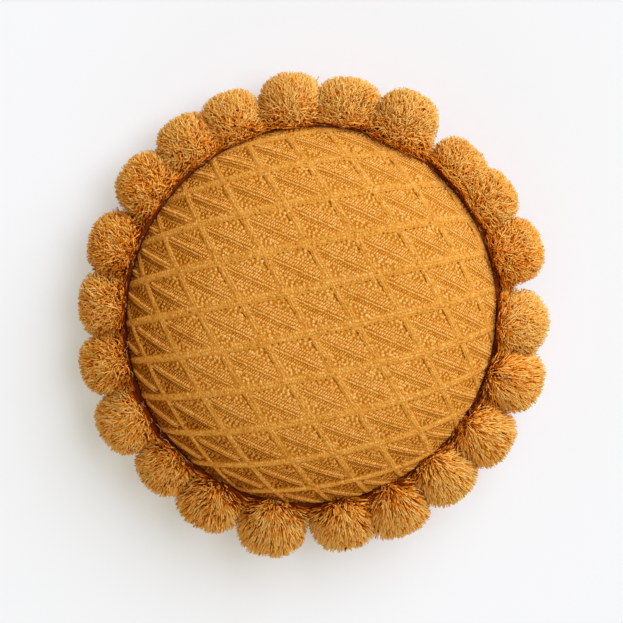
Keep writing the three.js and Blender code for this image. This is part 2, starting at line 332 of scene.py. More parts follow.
# Light: a soft lamp high on the right, a low wide window at the upper right, a weak fill from the lower
# left, and an even surround.
LAMPS = {
    "high_lamp": dict(energy=0.92, angle=10, height=62, spread=28),
    "low_window": dict(energy=2.98, angle=48, height=34, spread=56),
    "low_fill": dict(energy=0.62, angle=262, height=12, spread=40),
}
LAMP_COLOUR = "#E2F0FF"
LAMP_DISTANCE = 2000.0
SURROUND = 0.37
SURROUND_COLOUR = "#FFEBB6"
FLOOR_REACH = 4000.0
FLOOR_GLOW = 0.365
GLOW_COLOUR = "#E6F3EC"
FLOOR_COLOUR = "#D2CBD2"


def linear(hex_colour):
    """An sRGB hex colour as linear red, green, blue and alpha."""
    channels = [int(hex_colour[i:i + 2], 16) / 255 for i in (1, 3, 5)]
    return [c / 12.92 if c <= 0.04045 else ((c + 0.055) / 1.055) ** 2.4 for c in channels] + [1.0]


def smooth(value, low, high):
    """Smooth step from 0 at low to 1 at high."""
    t = np.clip((value - low) / (high - low), 0, 1)
    return t * t * (3 - 2 * t)


def oval(angle):
    """Share of the mean radius at an angle: longest across the columns of stitches."""
    return 1 - SEAM_OVAL * np.cos(2 * (angle - COLUMN_ANGLE))


def crown_section():
    """Half section of the crown: share of radius, height, slope and length of cloth from the middle."""
    share = np.sin(np.linspace(0, math.pi / 2, PROFILE_STEPS))
    height = CROWN_HEIGHT * (1 - share**CROWN_FULLNESS) ** CROWN_EDGE
    run = np.hypot(np.diff(share) * SEAM_RADIUS, np.diff(height))
    cloth = np.concatenate([[0], np.cumsum(run)])
    slope = np.arctan2(-np.gradient(height), np.gradient(share) * SEAM_RADIUS)
    return share, height, slope, cloth


CROWN = crown_section()
CLOTH_RADIUS = CROWN[3][-1]
ROW_REACH = int(CLOTH_RADIUS / ROW_PITCH) + SPARE_ROWS


def crown_point(x, y, rise, bulge=None):
    """A point of the flat cloth on the crown: its distance from the middle is measured along the
    section, and rise is added along the normal. bulge is the simulated shift of the cloth."""
    angle = np.arctan2(y, x)
    cloth = np.minimum(np.hypot(x, y) / oval(angle), CLOTH_RADIUS)
    share, height, slope = (np.interp(cloth, CROWN[3], column) for column in CROWN[:3])
    out = SEAM_RADIUS * oval(angle) * share + rise * np.sin(slope)
    up = SEAM_HEIGHT + height + rise * np.cos(slope)
    places = np.stack([out * np.cos(angle), out * np.sin(angle), up], -1)
    return places if bulge is None else places + sampled(bulge, cloth / CLOTH_RADIUS, angle)


def back_point(angle, step):
    """A point of the back: step runs from 0 at the seam to 1 at the flat spot along a quarter oval,
    and on to 2 at the middle of the flat spot."""
    turn = np.clip(step, 0, 1) * math.pi / 2
    reach = SEAM_RADIUS * oval(angle) - REST_RADIUS
    rounded = np.cos(turn).clip(0, 1) ** BACK_FULLNESS
    radius = np.where(step <= 1, REST_RADIUS + reach * rounded, REST_RADIUS * (2 - step))
    up = np.where(step < 1, SEAM_HEIGHT * (1 - np.sin(turn) ** BACK_FULLNESS), 0)
    return np.stack([radius * np.cos(angle), radius * np.sin(angle), up], -1)


def back_steps(rings, rest_rings):
    """Even steps of the back for rings from the seam to the flat spot, and then for rings on that."""
    return np.concatenate([np.arange(1, rings + 1) / rings, 1 + np.arange(1, rest_rings) / rest_rings])


def sampled(field, share, angle):
    """A field on rings and sectors, read at shares of the ring count and at angles, mixed linearly
    between rings and sectors, with the sectors going round."""
    rings, sectors = field.shape[:2]
    ring = np.clip(share, 0, 1) * (rings - 1)
    sector = (angle / (2 * math.pi) % 1) * sectors
    i = np.minimum(ring.astype(int), rings - 2)
    j = sector.astype(int) % sectors
    k = (j + 1) % sectors
    a, b = (ring - i)[..., None], (sector - sector.astype(int))[..., None]
    here = field[i, j] * (1 - a) + field[i + 1, j] * a
    beside = field[i, k] * (1 - a) + field[i + 1, k] * a
    return here * (1 - b) + beside * b


def mesh_object(name, places, faces, material, **attributes):
    """A smooth mesh object from places in millimetres and arrays of faces, with its points' attributes."""
    mesh = bpy.data.meshes.new(name)
    faces = [np.asarray(f, np.int32) for f in faces]
    corners = np.concatenate([f.ravel() for f in faces])
    sizes = np.concatenate([np.full(len(f), f.shape[1], np.int32) for f in faces])
    mesh.vertices.add(len(places))
    mesh.vertices.foreach_set("co", (np.asarray(places, np.float32) * MM).ravel())
    mesh.loops.add(len(corners))
    mesh.loops.foreach_set("vertex_index", corners)
    mesh.polygons.add(len(sizes))
    mesh.polygons.foreach_set("loop_start", np.concatenate([[0], np.cumsum(sizes)[:-1]]).astype(np.int32))
    mesh.polygons.foreach_set("use_smooth", np.full(len(sizes), True))
    for key, values in attributes.items():
        values = np.asarray(values, np.float32)
        kind = "FLOAT" if values.ndim == 1 else "FLOAT_VECTOR"
        layer = mesh.attributes.new(key, kind, "POINT")
        layer.data.foreach_set("value" if kind == "FLOAT" else "vector", values.ravel())
    mesh.update(calc_edges=True)
    mesh.validate()
    mesh.materials.append(material)
    obj = bpy.data.objects.new(name, mesh)
    bpy.context.scene.collection.objects.link(obj)
    return obj


# Materials

def new_material(name):
    """A material without nodes, and its node tree."""
    material = bpy.data.materials.new(name)
    material.use_nodes = True
    tree = material.node_tree
    tree.nodes.clear()
    return material, tree


def node(tree, kind, links=None, **settings):
    """Adds a node, sets its properties or input values, and links inputs to outputs of other nodes."""
    made = tree.nodes.new(kind)
    for key, value in settings.items():
        if hasattr(made, key):
            setattr(made, key, value)
        else:
            made.inputs[key.replace("_", " ")].default_value = value
    for key, source in (links or {}).items():
        tree.links.new(source, made.inputs[key])
    return made


def yarn_material(name, colours, fibre_size, mottling, fuzz, gloss, pattern=0.0):
    """Matt spun yarn. The tone attribute runs through the colours from the painted shade of deep folds to
    pale raised fibres, soft noise mottles it, and fine noise gives the broken, fuzzy surface of spun
    fibres. Real fibres are too fine to show, so this noise is drawn as coarse as it needs to be. With a
    pattern, the stitch attribute, which turns half round at each stitch, adds bumps, and dark gaps of
    painted shade like a chessboard, wherever the field attribute asks for them."""
    material, tree = new_material(name)
    coords = node(tree, "ShaderNodeTexCoord").outputs["Object"]
    tone = node(tree, "ShaderNodeAttribute", attribute_name="tone").outputs["Fac"]
    mottle = node(tree, "ShaderNodeTexNoise", {"Vector": coords}, Scale=1 / (MOTTLE_SIZE * MM), Detail=3.0)
    fibre = node(tree, "ShaderNodeTexNoise", {"Vector": coords}, Scale=1 / (fibre_size * MM), Detail=2.0)
    for noise, amount in ((mottle, mottling), (fibre, fuzz)):
        shift = node(tree, "ShaderNodeMath", {0: noise.outputs["Fac"]}, operation="MULTIPLY_ADD")
        shift.inputs[1].default_value = amount
        shift.inputs[2].default_value = -amount / 2
        tone = node(tree, "ShaderNodeMath", {0: tone, 1: shift.outputs[0]}, operation="ADD").outputs[0]
    height = fibre.outputs["Fac"]
    if pattern:
        stitch = node(tree, "ShaderNodeAttribute", attribute_name="stitch").outputs["Vector"]
        field = node(tree, "ShaderNodeAttribute", attribute_name="field").outputs["Fac"]
        turns = node(tree, "ShaderNodeSeparateXYZ", {"Vector": stitch}).outputs
        waves = [node(tree, "ShaderNodeMath", {0: turns[k]}, operation="COSINE").outputs[0] for k in (0, 1)]
        chess = node(tree, "ShaderNodeMath", dict(enumerate(waves)), operation="MULTIPLY").outputs[0]
        gaps = node(
            tree, "ShaderNodeMapRange", {"Value": chess},
            From_Min=STITCH_GAPS[0], From_Max=STITCH_GAPS[1], To_Max=-pattern,
        ).outputs[0]
        tone, height = (
            node(tree, "ShaderNodeMath", {0: wave, 1: field, 2: plain}, operation="MULTIPLY_ADD").outputs[0]
            for wave, plain in ((gaps, tone), (chess, height))
        )
    ramp = node(tree, "ShaderNodeValToRGB", {"Fac": tone})
    for place, colour in zip(TONE_STOPS[1:-1], colours[1:-1]):
        ramp.color_ramp.elements.new(place).color = linear(colour)
    ramp.color_ramp.elements[0].color = linear(colours[0])
    ramp.color_ramp.elements[-1].color = linear(colours[-1])
    bump = node(tree, "ShaderNodeBump", {"Height": height}, Strength=0.5, Distance=FIBRE_HEIGHT * MM)
    shader = node(
        tree, "ShaderNodeBsdfPrincipled",
        {"Base Color": ramp.outputs["Color"], "Normal": bump.outputs["Normal"]},
        Roughness=0.85, IOR=1.45, Specular_IOR_Level=gloss,
        Sheen_Weight=0.04, Sheen_Roughness=0.6, Sheen_Tint=linear(colours[-2]),
    )
    node(tree, "ShaderNodeOutputMaterial", {"Surface": shader.outputs[0]})
    return material


def table_material(name, colour, glow, glow_colour):
    """A plain matt white table, lit softly from below so that shadows on it stay pale."""
    material, tree = new_material(name)
    shader = node(
        tree, "ShaderNodeBsdfPrincipled", Base_Color=linear(colour), Roughness=0.9,
        Specular_IOR_Level=0.0, Emission_Color=linear(glow_colour), Emission_Strength=glow,
    )
    node(tree, "ShaderNodeOutputMaterial", {"Surface": shader.outputs[0]})
    return material


# Spun yarn, knitted loosely: soft and matt, pale on top of each stitch as painted light and deep ochre
# between stitches as painted shade.
KNIT = yarn_material("ochre_knit_yarn", KNIT_COLOURS, fibre_size=1.5, mottling=0.2, fuzz=0.5, gloss=0.08)
# The same knit as one cloth: plain where stitches lie on it, and dotted with stitches on the back, with
# painted shade in the gaps between them.
COVER = yarn_material(
    "ochre_knit_cover", KNIT_COLOURS, fibre_size=1.5, mottling=0.2, fuzz=0.5, gloss=0.08, pattern=0.4)
# The same yarn, knitted tightly along the ribs: its twist shows as short light and dark flecks.
RIB = yarn_material("ochre_rib_yarn", KNIT_COLOURS, fibre_size=1.8, mottling=0.25, fuzz=0.8, gloss=0.08)
# Spun yarn, cut into strands: dull and warm, with painted shade orange between the strands and painted
# light pale at their tips.
CUT = yarn_material("ochre_cut_yarn", CUT_COLOURS, fibre_size=1.2, mottling=0.15, fuzz=0.3, gloss=0.04)
# Spun sewing yarn of the seam and ties: as dull as the cut yarn, and redder.
SEAM = yarn_material("rust_seam_yarn", SEAM_COLOURS, fibre_size=1.2, mottling=0.15, fuzz=0.3, gloss=0.04)


# Filled body

def lattice(x, y):
    """Place of flat points in the lattice: distances from the nearest steep and flat rib, share along
    the diamond's long diagonal, millimetres across it, and the two counts of diamonds from the middle."""
    turn_u, turn_v = COLUMN_ANGLE - DIAMOND_HALF_ANGLE, COLUMN_ANGLE + DIAMOND_HALF_ANGLE
    sides = DIAMOND_SIDE * np.array([
        [math.cos(turn_u), math.cos(turn_v)],
        [math.sin(turn_u), math.sin(turn_v)],
    ])
    from_middle = np.stack([x - MIDDLE_CROSSING[0], y - MIDDLE_CROSSING[1]])
    row, column = np.tensordot(np.linalg.inv(sides), from_middle, 1)
    gauge = DIAMOND_SIDE * math.sin(2 * DIAMOND_HALF_ANGLE)
    from_v = (row - np.round(row)) * gauge
    from_u = (column - np.round(column)) * gauge
    part_u, part_v = row - np.floor(row), column - np.floor(column)
    along = (part_u + part_v) / 2
    across = (part_v - part_u) * DIAMOND_SIDE * math.sin(DIAMOND_HALF_ANGLE)
    return from_u, from_v, along, across, row, column


def ridge(distance, half):
    """Ridge of unit height with a flat top and steep rounded sides, over a half width."""
    return np.clip(1 - (distance / half) ** 2, 0, 1) ** RIDGE_FULLNESS


def groove(distance, diamonds, beads):
    """Groove of unit depth whose depth swells in a row of beads, given as a share, along the diamonds."""
    bead = 0.5 + 0.5 * np.cos(2 * math.pi * diamonds * GRID_PER_DIAMOND / BEAD_STEPS)
    return np.exp(-((distance / GROOVE_WIDTH) ** 2)) * (1 - beads + beads * bead)


def from_seam(x, y):
    """Length of cloth between flat places and the seam."""
    return CLOTH_RADIUS - np.hypot(x, y) / oval(np.arctan2(y, x))


def rim_share(x, y):
    """Share that rises from 0 far inside the seam to 1 near it."""
    return 1 - smooth(from_seam(x, y), RIM_EDGE, RIM_REACH)


def slack_and_shade(x, y):
    """Share of the cover where its ribs stand up, and of painted shade on its tones: full near the seam at
    the cushion's shaded side, none at the lit side and in the middle."""
    return rim_share(x, y) * (0.5 + 0.5 * np.cos(np.arctan2(y, x) - SHADED_SIDE_ANGLE))


def knit_surface(x, y):
    """Height of the knit over the cloth, and shares of rib, of twin rib and of groove. The height is that
    of the highest rib of both families or twin rib, grown near the seam, less the grooves beside the ribs.
    It fades out at the hem, where the cloth rolls over."""
    from_u, from_v, along, across, row, column = lattice(x, y)
    families = ((STEEP_RIB, from_u, from_v, row), (FLAT_RIB, from_v, from_u, column))
    ribs, grooves, near = [], [], []
    for rib, distance, crossing, diamonds in families:
        ribs.append(rib["height"] * ridge(distance - rib["middle"], rib["half"]))
        beaded = groove(distance - rib["groove"], diamonds, rib["beads"])
        grooves.append(rib["depth"] * beaded * smooth(np.abs(crossing), *rib["crossing"]))
        low, high = rib["clear"]
        beyond = 1 - smooth(distance, high, high + CLEAR_FADE)
        near.append(smooth(distance, low - CLEAR_FADE, low) * beyond)
    ends = smooth(np.minimum(along, 1 - along), TWIN_TIP, TWIN_START)
    valley = TWIN_VALLEY * np.exp(-(across / TWIN_VALLEY_WIDTH) ** 2)
    twin = ends * ridge(across, COLUMN_PITCH) * (1 - valley)
    grooves.append(TWIN_DEPTH * groove(across - TWIN_GROOVE, row, TWIN_BEADS) * ends)
    sunk = np.maximum.reduce(grooves)
    hem = from_seam(x, y)
    inner = smooth(hem, HEM_START, HEM_WIDTH)
    rolled = ROLL_HEIGHT * ridge(hem - ROLL_WIDTH / 2, ROLL_WIDTH / 2)
    growth = 1 + RIM_GROWTH * rim_share(x, y) + SLACK_GROWTH * slack_and_shade(x, y)
    height = np.maximum.reduce([*ribs, twin * TWIN_HEIGHT]) * growth - GROOVE_DEPTH * sunk
    double = ends * (1 - smooth(np.abs(across), TWIN_CLEAR, TWIN_CLEAR + CLEAR_FADE))
    return np.maximum(height * inner, rolled - ROLL_SINK), np.maximum(*near), double, sunk * inner


def filling_net():
    """Coarse closed net of the body: rings of the front from its middle to the seam, then of the back."""
    angle = np.arange(NET_SECTORS) / NET_SECTORS * 2 * math.pi
    cloth = np.linspace(0, 1, NET_FRONT_RINGS + 1)[1:, None] * CLOTH_RADIUS * oval(angle)
    front = crown_point(cloth * np.cos(angle), cloth * np.sin(angle), 0.0)
    step = back_steps(NET_BACK_RINGS, NET_REST_RINGS)
    back = back_point(*np.broadcast_arrays(angle[None, :], step[:, None]))
    rings = np.concatenate([front, back])
    places = np.concatenate([crown_point(*np.zeros((3, 1))), rings.reshape(-1, 3), np.zeros((1, 3))])
    return places, len(rings)


def ring_faces(rings, sectors, first):
    """Quads between rings of points numbered from first, each ring going round."""
    i, j = np.meshgrid(np.arange(rings - 1), np.arange(sectors), indexing="ij")
    k = (j + 1) % sectors
    corners = [i * sectors + j, (i + 1) * sectors + j, (i + 1) * sectors + k, i * sectors + k]
    return np.stack(corners, -1).reshape(-1, 4) + first


def fan_faces(middle, ring):
    """Triangles from a middle point to a closed ring of points."""
    return np.stack([np.full(len(ring), middle), ring, np.roll(ring, -1)], -1)


def filled_shift():
    """Shift of the cover when the filling presses it out: a coarse net is held at the flat spot and
    at the pompom ties, inflated by the cloth solver, and its movement is capped."""
    places, rings = filling_net()
    last = 1 + (rings - 1) * NET_SECTORS + np.arange(NET_SECTORS)
    faces = [
        ring_faces(rings, NET_SECTORS, 1),
        fan_faces(0, 1 + np.arange(NET_SECTORS)),
        fan_faces(len(places) - 1, last)[:, ::-1],
    ]
    net = mesh_object("filling_net", places, faces, KNIT)
    seam_first = 1 + (NET_FRONT_RINGS - 1) * NET_SECTORS
    turns = np.array([row["angle"] for row in POMPOMS]) / 360
    ties = np.round(turns * NET_SECTORS).astype(int) % NET_SECTORS
    held = np.concatenate([np.flatnonzero(places[:, 2] < HELD_HEIGHT), seam_first + ties])
    group = net.vertex_groups.new(name="held")
    group.add(held.tolist(), 1.0, "REPLACE")
    cloth = net.modifiers.new("filling", "CLOTH")
    cloth.settings.vertex_group_mass = "held"
    cloth.settings.use_pressure = True
    cloth.settings.uniform_pressure_force = FILL_PRESSURE
    cloth.settings.effector_weights.gravity = 0
    cloth.settings.quality = FILL_QUALITY
    cloth.point_cache.frame_end = FILL_FRAMES
    for number in range(1, FILL_FRAMES + 1):
        bpy.context.scene.frame_set(number)
    solved = net.evaluated_get(bpy.context.evaluated_depsgraph_get()).to_mesh()
    moved = np.empty(len(places) * 3, np.float32)
    solved.vertices.foreach_get("co", moved)
    shift = moved.reshape(-1, 3) / MM - places
    bpy.context.scene.frame_set(1)
    bpy.data.objects.remove(net)
    size = np.linalg.norm(shift, axis=1, keepdims=True)
    shift *= np.minimum(1, FILL_MOST / np.maximum(size, TINY))
    body = shift[1:-1].reshape(rings, NET_SECTORS, 3)
    front = np.concatenate([np.broadcast_to(shift[0], (1, NET_SECTORS, 3)), body[:NET_FRONT_RINGS]])
    back = np.concatenate([body[NET_FRONT_RINGS - 1:], np.broadcast_to(shift[-1], (1, NET_SECTORS, 3))])
    return front, back


def front_grid():
    """Square grid along the lattice's sides, cut at the seam: quads with a corner inside it are kept, and
    their corners past it are drawn in to it. Returns flat places, quads and the seam's corners in order."""
    count = 2 * LATTICE_REACH * GRID_PER_DIAMOND
    steps = np.arange(count + 1) / GRID_PER_DIAMOND - LATTICE_REACH
    row, column = np.meshgrid(steps, steps, indexing="ij")
    turn_u, turn_v = COLUMN_ANGLE - DIAMOND_HALF_ANGLE, COLUMN_ANGLE + DIAMOND_HALF_ANGLE
    x = MIDDLE_CROSSING[0] + DIAMOND_SIDE * (row * math.cos(turn_u) + column * math.cos(turn_v))
    y = MIDDLE_CROSSING[1] + DIAMOND_SIDE * (row * math.sin(turn_u) + column * math.sin(turn_v))
    x, y = x.ravel(), y.ravel()
    angle = np.arctan2(y, x)
    rim = CLOTH_RADIUS * oval(angle)
    spare = GRID_SPARE * DIAMOND_SIDE / GRID_PER_DIAMOND
    inside = np.hypot(x, y) < rim - spare
    i, j = np.meshgrid(np.arange(count), np.arange(count), indexing="ij")
    first = (i * (count + 1) + j).ravel()
    quads = np.stack([first, first + count + 1, first + count + 2, first + 1], -1)
    quads = quads[inside[quads].any(axis=1)]
    used, quads = np.unique(quads, return_inverse=True)
    quads = quads.reshape(-1, 4)
    pull = np.where(inside[used], 1.0, rim[used] / np.maximum(np.hypot(x[used], y[used]), TINY))
    flat = np.stack([x[used] * pull, y[used] * pull], -1)
    seam = np.flatnonzero(~inside[used])
    return flat, quads, seam[np.argsort(angle[used][seam])]


def make_cushion(front_shift, back_shift):
    """The knitted cover, filled: the front's grid with its relief, joined along the seam to rings of the
    back. Painted shade darkens the tones from the ribs to the gaps between stitches, further in the
    grooves, and near the seam on the cushion's shaded side."""
    flat, quads, seam = front_grid()
    height, ribs, double, sunk = knit_surface(flat[:, 0], flat[:, 1])
    front = crown_point(flat[:, 0], flat[:, 1], height, front_shift)
    angle = np.arctan2(flat[seam, 1], flat[seam, 0])
    step = back_steps(BACK_RINGS, REST_RINGS)
    # Shares of all rings of the net's back at these steps.
    share = np.concatenate([
        np.arange(1, BACK_RINGS + 1) / BACK_RINGS * NET_BACK_RINGS,
        NET_BACK_RINGS + np.arange(1, REST_RINGS) / REST_RINGS * NET_REST_RINGS,
    ]) / (NET_BACK_RINGS + NET_REST_RINGS)
    around, down, share = np.broadcast_arrays(angle[None, :], step[:, None], share[:, None])
    back = back_point(around, down) + sampled(back_shift, share, around)
    back[BACK_RINGS - 1:, :, 2] = 0
    places = np.concatenate([front, back.reshape(-1, 3), np.zeros((1, 3))])
    count = len(seam)
    rings = ring_faces(len(step) + 1, count, len(front) - count)
    rings = np.where(rings < len(front), seam[(rings - (len(front) - count)) % count], rings)
    last = len(front) + (len(step) - 1) * count + np.arange(count)
    faces = [quads, rings, fan_faces(len(places) - 1, last)[:, ::-1]]
    hem = from_seam(flat[:, 0], flat[:, 1])
    # Painted shade: near the seam on the cushion's shaded side, the gaps and ribs of the cover are darker.
    shade_share = slack_and_shade(flat[:, 0], flat[:, 1])
    knitted = np.maximum.reduce([ribs, double * shade_share, 1 - smooth(hem, HEM_START, STITCH_HEM)])
    gap_tone = GAP_TONE - SHADED_SIDE_GAP_TONE * shade_share
    front_tone = gap_tone + (RIB_TONE + SHADED_SIDE_RIB_TONE * shade_share - gap_tone) * knitted - GROOVE_TONE * sunk
    plain = len(places) - len(front)
    tone = np.concatenate([front_tone, np.full(plain, RIB_TONE)])
    field = np.concatenate([np.zeros(len(front)), np.ones(plain)])
    across, along = column_offsets(places[:, :2])
    stitch = np.stack([math.pi * across / COLUMN_PITCH, math.pi * along / ROW_PITCH, 0 * across], -1)
    body = mesh_object("cushion_cover", places, faces, COVER, tone=tone, field=field, stitch=stitch)
    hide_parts("cushion")
    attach(body, "root")
    return body


# Knit stitches

def grain_shape():
    """A plump grain of one stitch on unit axes along, across and up: a flat diamond with a short ridge
    over it. Returns its points, the two of the ridge last, and its triangles."""
    diamond = [[-1, 0, GRAIN_BASE], [0, -1, GRAIN_BASE], [1, 0, GRAIN_BASE], [0, 1, GRAIN_BASE]]
    points = np.array(diamond + [[-GRAIN_RIDGE, 0, 1], [GRAIN_RIDGE, 0, 1]])
    faces = np.array([
        [0, 1, 4], [1, 5, 4], [1, 2, 5], [2, 3, 5],
        [3, 4, 5], [3, 0, 4], [0, 3, 1], [1, 3, 2],
    ])
    return points, faces


def stitch_piece(name, flat, turn, size, tone, lift, material, shift):
    """Grains of knit set on the front: each has a place on the flat cloth, a turn, and its half length,
    half width and rise; every point is laid on the relief there, but the ridge no lower than between the
    sides, so that a grain spans a groove. lift makes their tops paler and their bases darker, as painted
    light and shade."""
    points, corners = grain_shape()
    along = points[None, :, 0] * size[:, None, 0]
    across = points[None, :, 1] * size[:, None, 1]
    x = flat[:, None, 0] + along * np.cos(turn)[:, None] - across * np.sin(turn)[:, None]
    y = flat[:, None, 1] + along * np.sin(turn)[:, None] + across * np.cos(turn)[:, None]
    under = knit_surface(x, y)[0]
    between_sides = under[:, [1, 3]].mean(1, keepdims=True)
    under[:, -2:] = np.maximum(under[:, -2:], between_sides)
    rise = under + points[None, :, 2] * size[:, None, 2]
    places = crown_point(x, y, rise, shift).reshape(-1, 3)
    first = np.arange(len(flat))[:, None, None] * len(points)
    faces = [(corners[None] + first).reshape(-1, 3)]
    tones = (tone[:, None] + lift * points[None, :, 2]).ravel()
    piece = mesh_object(name, places, faces, material, tone=tones)
    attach(piece, "root")
    return piece


def column_places(across, along):
    """Flat places from millimetres across and along the columns, measured from the middle crossing."""
    cos, sin = math.cos(COLUMN_ANGLE), math.sin(COLUMN_ANGLE)
    return MIDDLE_CROSSING + np.stack([along * cos - across * sin, along * sin + across * cos], -1)


def column_offsets(flat):
    """Millimetres across and along the columns of flat places, measured from the middle crossing."""
    cos, sin = math.cos(COLUMN_ANGLE), math.sin(COLUMN_ANGLE)
    x, y = (flat - MIDDLE_CROSSING).T
    return y * cos - x * sin, x * cos + y * sin


def field_stitches(shift):
    """Stitches between the ribs, on columns and rows, every other column half a row on: slanted strokes
    beside the twin rib and on its upper column, plump bobbles on every other stitch further out, and flat
    strokes on its lower column. Those in the twin rib's groove are small and deep, and darker as painted
    shade. Near the seam on the cushion's shaded side all are darker, as painted shade."""
    random = np.random.default_rng(FIELD_SEED)
    numbers = np.arange(-ROW_REACH, ROW_REACH + 1)
    i, j = (g.ravel() for g in np.meshgrid(numbers, numbers))
    across = (i + 0.5) * COLUMN_PITCH + random.normal(0, FIELD_STRAY, len(i))
    along = (j + 0.5 * (i % 2)) * ROW_PITCH + random.normal(0, FIELD_STRAY, len(i))
    flat = column_places(across, along)
    from_u, from_v, share, side, _, _ = lattice(flat[:, 0], flat[:, 1])
    bobble = np.abs(side) > BOBBLE_FROM
    skipped = bobble & ((i + j) % 2 == 1) & (random.random(len(i)) < BOBBLE_SKIPS)
    keep = ~skipped & (from_seam(*flat.T) > STITCH_HEM)
    for rib, distance in ((STEEP_RIB, from_u), (FLAT_RIB, from_v)):
        low, high = rib["clear"]
        keep &= (distance < low) | (distance > high)
    flat, side, share, bobble = flat[keep], side[keep], share[keep], bobble[keep]
    inside = np.minimum(share, 1 - share) > TWIN_TIP
    lower = inside & (side < 0) & (side > -TWIN_CLEAR)
    sunk = inside & (np.abs(side - TWIN_GROOVE) < TWIN_GAP)
    double = inside & (np.abs(side) < TWIN_CLEAR)
    turn = np.where(lower, LOWER_SLANT, np.where(bobble, math.pi / 2, STROKE_SLANT))
    turn = COLUMN_ANGLE + turn + random.normal(0, np.where(bobble, BOBBLE_TURNS, STROKE_TURNS))
    size = np.where(lower[:, None], LOWER_SIZE, STROKE_SIZE)
    size = np.where(bobble[:, None], BOBBLE_SIZE, size) * np.where(sunk, SUNK_SIZE, 1.0)[:, None]
    size = size * random.uniform(*FIELD_SIZES, size.shape)
    tone = random.normal(STITCH_TONE, FIELD_TONES, len(flat)) + BOBBLE_TONE * bobble + SUNK_TONE * sunk
    tone -= slack_and_shade(flat[:, 0], flat[:, 1]) * np.where(double, SHADED_SIDE_TWIN_TONE, SHADED_SIDE_STITCH_TONE)
    return stitch_piece("field_stitches", flat, turn, size, tone, FIELD_LIFT, KNIT, shift)


def lattice_rows(sign, offset, pitch):
    """Flat places along all ribs of one family, at an offset across them and a pitch along them."""
    way, other = COLUMN_ANGLE + sign * DIAMOND_HALF_ANGLE, COLUMN_ANGLE - sign * DIAMOND_HALF_ANGLE
    steps = np.arange(-LATTICE_REACH * DIAMOND_SIDE, LATTICE_REACH * DIAMOND_SIDE, pitch)
    lane, step = (g.ravel() for g in np.meshgrid(np.arange(-LATTICE_REACH, LATTICE_REACH + 1), steps))
    out = lane * DIAMOND_SIDE + offset / math.sin(2 * DIAMOND_HALF_ANGLE)
    x = MIDDLE_CROSSING[0] + out * math.cos(other) + step * math.cos(way)
    y = MIDDLE_CROSSING[1] + out * math.sin(other) + step * math.sin(way)
    flat = np.stack([x, y], -1)
    return flat[from_seam(*flat.T) > STITCH_HEM], way


def rib_stitches(shift):
    """Knit stitches on the lattice: two lanes of overlapping grains on each rib, slanted against each
    other. The flat ribs run over the steep ones."""
    random = np.random.default_rng(RIB_SEED)
    flats, turns, sizes, tones = [], [], [], []
    for sign, rib in ((-1, STEEP_RIB), (1, FLAT_RIB)):
        for half in (-1, 1):
            flat, way = lattice_rows(sign, rib["middle"] + half * rib["lane"], RIB_PITCH)
            over = lattice(flat[:, 0], flat[:, 1])[1] - FLAT_RIB["middle"]
            flat = flat[(sign > 0) | (np.abs(over) > FLAT_RIB["half"])]
            flats.append(flat + random.normal(0, RIB_STRAY, flat.shape))
            turns.append(way + half * RIB_SLANT + random.normal(0, RIB_TURNS, len(flat)))
            sizes.append(np.tile([RIB_LENGTH, rib["width"], RIB_RISE], (len(flat), 1)))
            tones.append(random.normal(RIB_TONE + rib["tone"], RIB_TONES, len(flat)))
    flat, turn, size, tone = (np.concatenate(v) for v in (flats, turns, sizes, tones))
    size = size * random.uniform(*RIB_SIZES, size.shape)
    # Painted shade: rib stitches are a little darker near the seam on the cushion's shaded side.
    tone = tone + SHADED_SIDE_RIB_TONE * slack_and_shade(flat[:, 0], flat[:, 1])
    return stitch_piece("rib_stitches", flat, turn, size, tone, RIB_LIFT, RIB, shift)


